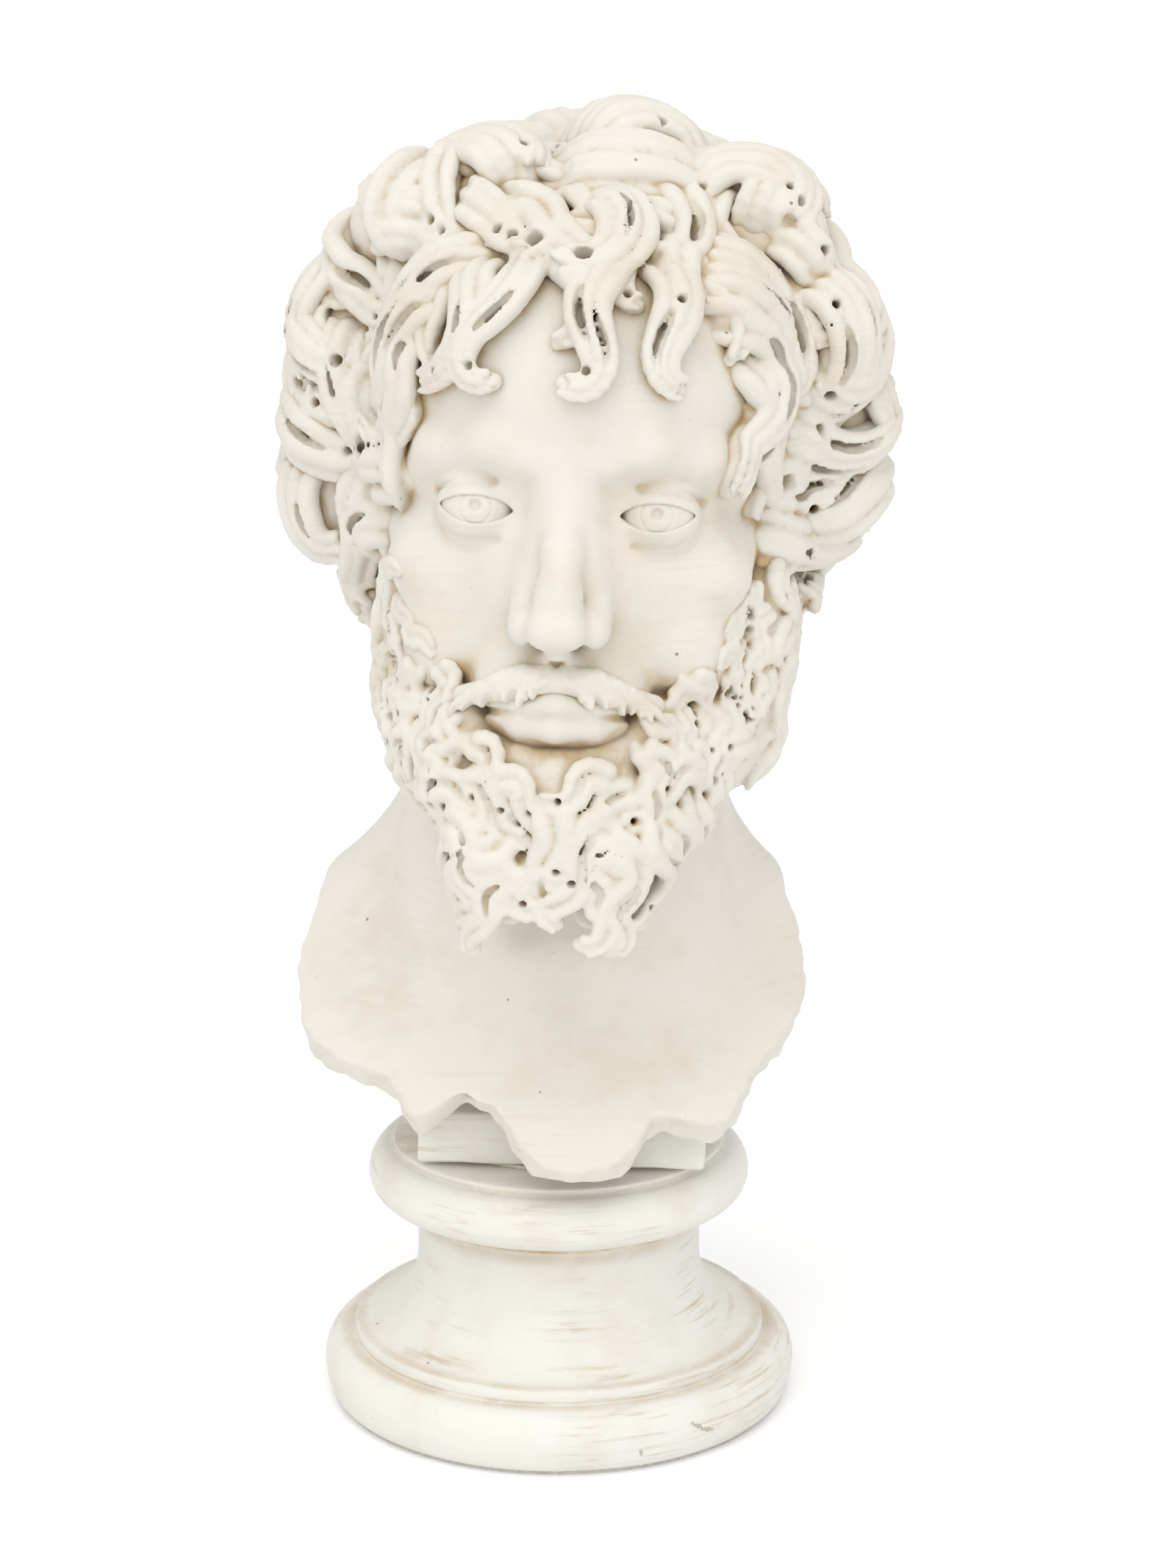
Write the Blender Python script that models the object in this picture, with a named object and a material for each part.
"""A life-size portrait bust with curled hair and a forked beard, on a turned socle.

Metres, +Z up, the face towards -Y. The origin is on the socle's axis, on the face that rests on the table.
From the table up: a felt disc, the socle, a setting bed, the support block, a second bed and the bust.
A threaded stud, cast into the bust in resin, passes down through the block and the socle. A nut pulls
everything together against washers, in a recess under the socle, and two dowels stop the bust turning.
"""

import math

import bmesh
import bpy
from mathutils import Euler, Matrix, Vector

# ---- driving dimensions, in metres ----
GAP = 0.0003  # between pieces that touch
SMOOTH_ANGLE = math.radians(35)
SOCLE_SIDES = 36

FELT_THICK = 0.0015
FELT_RADIUS = 0.0862

SOCLE_FOOT_RADIUS = 0.0872
SOCLE_TOP = 0.105
FOOT_TORUS_RADIUS = 0.0915
FOOT_TORUS_TOP = 0.0253
FILLET_RADIUS = 0.0790
FILLET_TOP = 0.0307
SCOTIA_TOP = 0.0590
NECK_RADIUS = 0.0546
NECK_TOP = 0.0735
COLLAR_RADIUS = 0.0586
COLLAR_BOTTOM = 0.0768
COLLAR_TOP = 0.0798
HEAD_TORUS_RADIUS = 0.0735
HEAD_TORUS_TOP = 0.1020
TOP_RADIUS = 0.0640

BED_THICK = 0.0014
BLOCK_SIZE = Vector((0.108, 0.092, 0.0205))
BLOCK_CENTRE = Vector((0.0043, 0.0, 0.0))
BUST_TURN = math.radians(-4.5)  # the bust and its block look a little to their right

PILLAR_SIZE = Vector((0.092, 0.056, 0.070))  # the foot under the chest
CHEST_RADIUS = 0.0965
CHEST_SPREAD = 0.0024  # how much wider the rim is at the back
CHEST_TILT = math.radians(31.8)  # the broken rim's plane drops towards the front
CHEST_CENTRE = Vector((-0.0028, -0.005, 0.170))
DOME_RADII = Vector((0.130, 0.130, 0.060))
DOME_DROP = 0.0405
CHEST_WALL = 0.014

HEAD_CENTRE = Vector((0.0100, 0.0, 0.360))  # the skull's middle, at the height of the eyes
HEAD_TURN = Euler((math.radians(-3.0), math.radians(2.0), BUST_TURN))
HAIR_RADII = Vector((0.097, 0.087, 0.081))
HAIR_CENTRE = Vector((0.001, 0.020, 0.043))
CURL_SIZE = 0.0185

STUD_RADIUS = 0.006
STUD_BOTTOM = 0.0085
STUD_TOP = 0.196
ANCHOR_RADIUS = 0.009
CLEARANCE_RADIUS = 0.0070
RECESS_RADIUS = 0.0240
RECESS_TOP = 0.0300
WASHER_RADIUS = 0.0185
WASHER_THICK = 0.0030
SPRING_RADIUS = 0.0104
SPRING_THICK = 0.0025
NUT_FLATS = 0.0190
NUT_THICK = 0.0108
DOWEL_RADIUS = 0.004
DOWEL_HALF_SPACING = 0.036
DOWEL_SPAN = (0.0900, 0.1440)

BUST_VOXEL = 0.0036
BUST_SMOOTHING = 5
BUST_KEEP = 0.082  # share of the remeshed triangles that the plain bust keeps

# ---- heights that follow from them ----
SOCLE_BOTTOM = FELT_THICK + GAP
BED_LOW = SOCLE_TOP + GAP
BLOCK_BOTTOM = BED_LOW + BED_THICK + GAP
BLOCK_TOP = BLOCK_BOTTOM + BLOCK_SIZE.z
BED_HIGH = BLOCK_TOP + GAP
BUST_BOTTOM = BED_HIGH + BED_THICK + GAP
WASHER_BOTTOM = RECESS_TOP - GAP - WASHER_THICK
SPRING_BOTTOM = WASHER_BOTTOM - GAP - SPRING_THICK
NUT_BOTTOM = SPRING_BOTTOM - GAP - NUT_THICK

STONE = {"colour": (0.84, 0.80, 0.72), "roughness": 0.7, "metallic": 0.0}
MORTAR = {"colour": (0.62, 0.56, 0.47), "roughness": 0.9, "metallic": 0.0}
STEEL = {"colour": (0.55, 0.56, 0.58), "roughness": 0.35, "metallic": 1.0}
RESIN = {"colour": (0.50, 0.38, 0.22), "roughness": 0.4, "metallic": 0.0}
FELT = {"colour": (0.58, 0.56, 0.51), "roughness": 1.0, "metallic": 0.0}


# ---- helpers ----
def clear_scene():
    for obj in list(bpy.data.objects):
        bpy.data.objects.remove(obj, do_unlink=True)


def paint(obj, name, finish):
    material = bpy.data.materials.get(name) or bpy.data.materials.new(name)
    material.use_nodes = True
    shader = material.node_tree.nodes["Principled BSDF"]
    shader.inputs["Base Color"].default_value = (*finish["colour"], 1.0)
    shader.inputs["Roughness"].default_value = finish["roughness"]
    shader.inputs["Metallic"].default_value = finish["metallic"]
    obj.data.materials.clear()
    obj.data.materials.append(material)


def smooth(obj):
    obj.data.shade_smooth()
    obj.data.set_sharp_from_angle(angle=SMOOTH_ANGLE)


def apply_modifiers(obj):
    bpy.ops.object.select_all(action="DESELECT")
    obj.select_set(True)
    bpy.context.view_layer.objects.active = obj
    bpy.ops.object.convert(target="MESH")
    return obj


def cylinder(name, radius, bottom, top, at=(0.0, 0.0), sides=48):
    bpy.ops.mesh.primitive_cylinder_add(
        vertices=sides,
        radius=radius,
        depth=top - bottom,
        location=(at[0], at[1], (top + bottom) / 2),
    )
    obj = bpy.context.object
    obj.name = name
    return obj


def cut(obj, cutter):
    """Takes the cutter's shape out of the object, and keeps the cutter as a hidden guide."""
    cutter.hide_render = True
    cutter.display_type = "WIRE"
    modifier = obj.modifiers.new("cut_" + cutter.name, "BOOLEAN")
    modifier.operation = "DIFFERENCE"
    modifier.solver = "EXACT"
    modifier.object = cutter


def on_block(x, y=0.0):
    """A place on the turned block, as a point seen from above."""
    turned = Matrix.Rotation(BUST_TURN, 3, "Z") @ Vector((x, y, 0.0))
    return (turned.x + BLOCK_CENTRE.x, turned.y + BLOCK_CENTRE.y)


def dowel_places():
    return {"left": on_block(-DOWEL_HALF_SPACING), "right": on_block(DOWEL_HALF_SPACING)}


def half_torus(low, high, bulge, steps):
    """An outward bulge between two profile points, as half an ellipse that reaches the radius bulge."""
    points = []
    for step in range(steps + 1):
        share = step / steps
        inner = low[0] + (high[0] - low[0]) * share
        around = math.pi * share
        height = (low[1] + high[1]) / 2 - (high[1] - low[1]) / 2 * math.cos(around)
        points.append((inner + (bulge - inner) * math.sin(around), height))
    return points


def quarter_hollow(wide, narrow, steps):
    """A concave quarter of an ellipse, level at the wide point and upright at the narrow one."""
    points = []
    for step in range(1, steps + 1):
        angle = math.pi / 2 * step / steps
        radius = narrow[0] + (wide[0] - narrow[0]) * (1 - math.sin(angle))
        points.append((radius, wide[1] + (narrow[1] - wide[1]) * (1 - math.cos(angle))))
    return points


# ---- socle ----
def socle_profile():
    """The socle's outside from the foot up: foot torus, fillet, scotia, neck, head torus, top ring."""
    foot_high = (FILLET_RADIUS + 0.0028, FOOT_TORUS_TOP)
    points = half_torus((SOCLE_FOOT_RADIUS, SOCLE_BOTTOM), foot_high, FOOT_TORUS_RADIUS, 8)
    points += [(FILLET_RADIUS + 0.0008, FOOT_TORUS_TOP), (FILLET_RADIUS, FILLET_TOP)]
    points += quarter_hollow((FILLET_RADIUS, FILLET_TOP), (NECK_RADIUS, SCOTIA_TOP), 8)
    points += quarter_hollow((COLLAR_RADIUS, COLLAR_BOTTOM), (NECK_RADIUS, NECK_TOP), 3)[::-1]
    points += [(COLLAR_RADIUS, COLLAR_BOTTOM), (COLLAR_RADIUS, COLLAR_TOP)]
    torus_low = (COLLAR_RADIUS + 0.0016, COLLAR_TOP + GAP)
    torus_high = (TOP_RADIUS + 0.0016, HEAD_TORUS_TOP)
    points += half_torus(torus_low, torus_high, HEAD_TORUS_RADIUS, 8)
    points += [(TOP_RADIUS, HEAD_TORUS_TOP + GAP), (TOP_RADIUS, SOCLE_TOP)]
    return points


def make_socle():
    mesh = bpy.data.meshes.new("socle")
    shape = bmesh.new()
    inner = [(CLEARANCE_RADIUS, SOCLE_TOP), (CLEARANCE_RADIUS, RECESS_TOP)]
    inner += [(RECESS_RADIUS, RECESS_TOP), (RECESS_RADIUS, SOCLE_BOTTOM)]
    outline = socle_profile() + inner
    ring = [shape.verts.new((radius, 0.0, height)) for radius, height in outline]
    edges = [shape.edges.new((ring[i], ring[(i + 1) % len(ring)])) for i in range(len(ring))]
    bmesh.ops.spin(
        shape,
        geom=ring + edges,
        cent=(0, 0, 0),
        axis=(0, 0, 1),
        angle=math.tau,
        steps=SOCLE_SIDES,
        use_merge=True,
    )
    bmesh.ops.remove_doubles(shape, verts=shape.verts, dist=1e-6)
    bmesh.ops.recalc_face_normals(shape, faces=shape.faces)
    shape.to_mesh(mesh)
    shape.free()
    socle = bpy.data.objects.new("socle", mesh)
    bpy.context.collection.objects.link(socle)
    for side, place in dowel_places().items():
        hole_low, hole_high = DOWEL_SPAN[0] - GAP, SOCLE_TOP + 0.01
        cut(socle, cylinder("socle_hole_" + side, DOWEL_RADIUS + GAP, hole_low, hole_high, place, 24))
    smooth(socle)
    paint(socle, "painted_stone", STONE)
    return socle


# ---- block and beds ----
def box(name, size, bottom, bevel):
    bpy.ops.mesh.primitive_cube_add(size=1.0)
    obj = bpy.context.object
    obj.name = name
    obj.scale = size
    bpy.ops.object.transform_apply(location=False, rotation=False, scale=True)
    obj.location = BLOCK_CENTRE + Vector((0.0, 0.0, bottom + size.z / 2))
    obj.rotation_euler.z = BUST_TURN
    edge = obj.modifiers.new("worn_edges", "BEVEL")
    edge.width = bevel
    edge.segments = 2
    return obj


def pierce_for_fixings(obj, bottom, top):
    """The stud's clearance hole and the two dowels' holes, right through."""
    name = obj.name
    cut(obj, cylinder(name + "_stud_hole", CLEARANCE_RADIUS, bottom - 0.01, top + 0.01, sides=32))
    for side, place in dowel_places().items():
        hole = cylinder(name + "_hole_" + side, DOWEL_RADIUS + GAP, bottom - 0.01, top + 0.01, place, 24)
        cut(obj, hole)


def make_block():
    block = box("support_block", BLOCK_SIZE, BLOCK_BOTTOM, 0.0014)
    pierce_for_fixings(block, BLOCK_BOTTOM, BLOCK_TOP)
    smooth(block)
    paint(block, "painted_stone", STONE)


def make_beds():
    low = cylinder("lower_setting_bed", 0.046, BED_LOW, BED_LOW + BED_THICK, sides=40)
    pierce_for_fixings(low, BED_LOW, BED_LOW + BED_THICK)
    size = Vector((PILLAR_SIZE.x - 0.004, PILLAR_SIZE.y - 0.004, BED_THICK))
    high = box("upper_setting_bed", size, BED_HIGH, 0.0004)
    pierce_for_fixings(high, BED_HIGH, BED_HIGH + BED_THICK)
    for bed in (low, high):
        smooth(bed)
        paint(bed, "setting_plaster", MORTAR)


# ---- bust ----
def rim_radius(angle):
    """The broken rim's radius, with the angle from the front towards the bust's left shoulder."""
    notches = ((-20, 12, 0.025), (-48, 14, 0.013), (28, 8, 0.012), (60, 12, 0.003))
    radius = CHEST_RADIUS + CHEST_SPREAD * (1 - math.cos(angle)) / 2
    for middle, half_width, depth in notches:
        away = (math.degrees(angle) - middle) / half_width
        radius -= depth * math.exp(-away * away)
    return radius


def chest_frame():
    return Matrix.Translation(CHEST_CENTRE) @ Matrix.Rotation(CHEST_TILT, 4, "X")


def ball(radii, centre=(0.0, 0.0, 0.0), turn=(0.0, 0.0, 0.0), segments=24):
    bpy.ops.mesh.primitive_uv_sphere_add(segments=segments, ring_count=segments // 2, radius=1.0)
    obj = bpy.context.object
    obj.data.transform(Matrix.LocRotScale(Vector(centre), Euler(turn), Vector(radii)))
    return obj


def make_chest():
    """A domed shell inside a broken outline, made in the tilted frame of the rim."""
    dome = ball(DOME_RADII, (0, 0, -DOME_DROP), segments=64)
    hollow = ball(DOME_RADII - Vector((1, 1, 1)) * CHEST_WALL, (0, 0, -DOME_DROP), segments=48)
    corners = 72
    outline = bpy.data.meshes.new("rim_outline")
    shape = bmesh.new()
    ring = []
    for corner in range(corners):
        angle = math.tau * corner / corners - math.pi
        radius = rim_radius(angle)
        ring.append(shape.verts.new((radius * math.sin(angle), -radius * math.cos(angle), -0.03)))
    face = shape.faces.new(ring)
    raised = bmesh.ops.extrude_face_region(shape, geom=[face])["geom"]
    tops = [item for item in raised if isinstance(item, bmesh.types.BMVert)]
    bmesh.ops.translate(shape, verts=tops, vec=(0, 0, 0.08))
    bmesh.ops.recalc_face_normals(shape, faces=shape.faces)
    shape.to_mesh(outline)
    shape.free()
    prism = bpy.data.objects.new("rim_outline", outline)
    bpy.context.collection.objects.link(prism)
    for operation, tool in (("DIFFERENCE", hollow), ("INTERSECT", prism)):
        modifier = dome.modifiers.new(operation.lower(), "BOOLEAN")
        modifier.operation = operation
        modifier.solver = "EXACT"
        modifier.object = tool
    apply_modifiers(dome)
    for tool in (hollow, prism):
        bpy.data.objects.remove(tool, do_unlink=True)
    dome.matrix_world = chest_frame()
    return dome


def cone(low, high, low_radius, high_radius):
    axis = Vector(high) - Vector(low)
    bpy.ops.mesh.primitive_cone_add(
        vertices=40, radius1=low_radius, radius2=high_radius, depth=axis.length
    )
    obj = bpy.context.object
    obj.location = (Vector(low) + Vector(high)) / 2
    obj.rotation_euler = axis.to_track_quat("Z", "Y").to_euler()
    return obj


def make_neck():
    """The neck's column, its flare into the tilted chest, and the pillar that stands on the block."""
    rim = chest_frame()
    column = cone((0.002, 0.006, 0.200), (0.010, 0.016, 0.350), 0.060, 0.056)
    flare = cone(rim @ Vector((0, 0, 0.001)), rim @ Vector((0, 0, 0.062)), 0.080, 0.052)
    pillar = box("pillar", PILLAR_SIZE, BUST_BOTTOM, 0.006)
    return [column, flare, apply_modifiers(pillar)]


def make_head():
    """Skull, face, ears, hair and beard as plain masses, in the head's own frame, then set in place."""
    masses = [
        ((0.072, 0.086, 0.078), (0, 0.008, 0.030)),  # skull
        ((0.064, 0.060, 0.092), (0, -0.030, -0.016)),  # face
        ((0.060, 0.050, 0.052), (0, -0.042, 0.044)),  # forehead
        ((0.028, 0.024, 0.022), (0, -0.074, -0.094)),  # chin
        ((0.042, 0.022, 0.010), (0, -0.076, 0.018)),  # brow
        ((0.010, 0.022, 0.030), (0, -0.086, -0.018)),  # bridge of the nose
        ((0.017, 0.017, 0.010), (0, -0.097, -0.038)),  # tip and wings of the nose
        ((0.040, 0.020, 0.010), (0, -0.080, -0.060)),  # moustache
        ((0.024, 0.018, 0.008), (0, -0.080, -0.077)),  # lower lip
        ((0.052, 0.024, 0.018), (0, -0.078, 0.074)),  # fringe
        ((0.064, 0.044, 0.044), (0, 0.066, -0.024)),  # hair on the nape
        (HAIR_RADII, HAIR_CENTRE),
    ]
    for side in (-1, 1):
        masses += [
            ((0.022, 0.018, 0.016), (side * 0.045, -0.060, -0.024)),  # cheekbone
            ((0.013, 0.014, 0.011), (side * 0.032, -0.071, 0.000)),  # eye
            ((0.010, 0.020, 0.032), (side * 0.078, 0.002, -0.022)),  # ear
            ((0.026, 0.044, 0.044), (side * 0.046, -0.030, -0.072)),  # jaw and cheek beard
            ((0.024, 0.026, 0.042), (side * 0.018, -0.074, -0.118)),  # fork of the beard
            ((0.022, 0.030, 0.034), (side * 0.032, -0.058, -0.104)),  # beard beside the chin
            ((0.030, 0.044, 0.038), (side * 0.076, 0.022, 0.004)),  # curls over the ear
        ]
    pieces = [ball(radii, centre) for radii, centre in masses] + make_curls()
    place = Matrix.LocRotScale(HEAD_CENTRE, HEAD_TURN, None)
    for piece in pieces:
        piece.matrix_world = place
    return pieces


def make_curls():
    """Round lumps in rings over the hair, leaving out the face."""
    pieces = []
    for ring, (tilt, count) in enumerate(((-36, 13), (-8, 15), (19, 14), (45, 10), (70, 5))):
        low = math.radians(tilt)
        for place in range(count):
            around = math.tau * (place + 0.5 * (ring % 2)) / count
            facing = -math.cos(around)
            if facing < -0.42 and tilt < 15:
                continue
            outward = (math.sin(around) * math.cos(low), facing * math.cos(low), math.sin(low))
            spot = HAIR_CENTRE + Vector(o * h for o, h in zip(outward, HAIR_RADII))
            size = CURL_SIZE * (1 + 0.16 * math.sin(2.4 * place + ring))
            pieces.append(ball((size, size, size), spot, segments=16))
    return pieces


def make_bust():
    pieces = [make_chest(), *make_neck(), *make_head()]
    bpy.ops.object.select_all(action="DESELECT")
    for piece in pieces:
        piece.select_set(True)
    bust = pieces[0]
    bpy.context.view_layer.objects.active = bust
    bpy.ops.object.join()
    bpy.ops.object.transform_apply(location=True, rotation=True, scale=True)
    bust.name = "bust"
    fuse = bust.modifiers.new("fuse", "REMESH")
    fuse.mode = "VOXEL"
    fuse.voxel_size = BUST_VOXEL
    soften = bust.modifiers.new("soften", "SMOOTH")
    soften.factor = 0.5
    soften.iterations = BUST_SMOOTHING
    lighten = bust.modifiers.new("lighten", "DECIMATE")
    lighten.ratio = BUST_KEEP
    apply_modifiers(bust)
    cut(bust, cylinder("bust_foot", 0.064, BUST_BOTTOM - 0.03, BUST_BOTTOM, on_block(0.0)))
    cut(bust, cylinder("bust_bore", ANCHOR_RADIUS + GAP, BUST_BOTTOM - 0.02, STUD_TOP + 0.004))
    for side, place in dowel_places().items():
        hole = cylinder(
            "bust_hole_" + side, DOWEL_RADIUS + GAP, BUST_BOTTOM - 0.02, DOWEL_SPAN[1] + GAP, place, 24
        )
        cut(bust, hole)
    smooth(bust)
    paint(bust, "painted_stone", STONE)


# ---- fixings ----
def ring(name, outer, inner, bottom, top, sides=48):
    obj = cylinder(name, outer, bottom, top, sides=sides)
    cut(obj, cylinder(name + "_hole", inner, bottom - 0.005, top + 0.005, sides=sides))
    smooth(obj)
    return obj


def make_stud():
    stud = cylinder("fixing_stud", STUD_RADIUS, STUD_BOTTOM, STUD_TOP, sides=32)
    ends = stud.modifiers.new("chamfered_ends", "BEVEL")
    ends.width = 0.0008
    ends.segments = 1
    smooth(stud)
    paint(stud, "steel", STEEL)
    sleeve_low, sleeve_high = BUST_BOTTOM + GAP, STUD_TOP - 0.002
    sleeve = ring("resin_anchor", ANCHOR_RADIUS, STUD_RADIUS + GAP, sleeve_low, sleeve_high, 32)
    paint(sleeve, "resin", RESIN)


def make_nut_and_washers():
    plate = ring(
        "plate_washer", WASHER_RADIUS, STUD_RADIUS + 0.0005, WASHER_BOTTOM, WASHER_BOTTOM + WASHER_THICK
    )
    spring = ring(
        "spring_washer", SPRING_RADIUS, STUD_RADIUS + GAP, SPRING_BOTTOM, SPRING_BOTTOM + SPRING_THICK, 40
    )
    bpy.ops.mesh.primitive_cube_add(size=1.0)
    slit = bpy.context.object
    slit.name = "spring_slit"
    slit.scale = (0.012, 0.0012, 0.012)
    bpy.ops.object.transform_apply(location=False, rotation=False, scale=True)
    slit.location = (0.0085, 0.0, SPRING_BOTTOM)
    cut(spring, slit)
    nut = cylinder(
        "hex_nut", NUT_FLATS / 2 / math.cos(math.pi / 6), NUT_BOTTOM, NUT_BOTTOM + NUT_THICK, sides=6
    )
    cut(nut, cylinder("nut_thread", STUD_RADIUS + GAP, NUT_BOTTOM - 0.005, NUT_BOTTOM + 0.02, sides=32))
    smooth(nut)
    for piece in (plate, spring, nut):
        paint(piece, "steel", STEEL)


def make_dowels():
    for side, place in dowel_places().items():
        dowel = cylinder("locating_dowel_" + side, DOWEL_RADIUS, *DOWEL_SPAN, place, 24)
        ends = dowel.modifiers.new("chamfered_ends", "BEVEL")
        ends.width = 0.0006
        ends.segments = 1
        smooth(dowel)
        paint(dowel, "steel", STEEL)


def make_felt():
    felt = cylinder("felt_disc", FELT_RADIUS, 0.0, FELT_THICK, sides=64)
    smooth(felt)
    paint(felt, "felt", FELT)


clear_scene()
make_felt()
make_socle()
make_block()
make_beds()
make_bust()
make_stud()
make_nut_and_washers()
make_dowels()
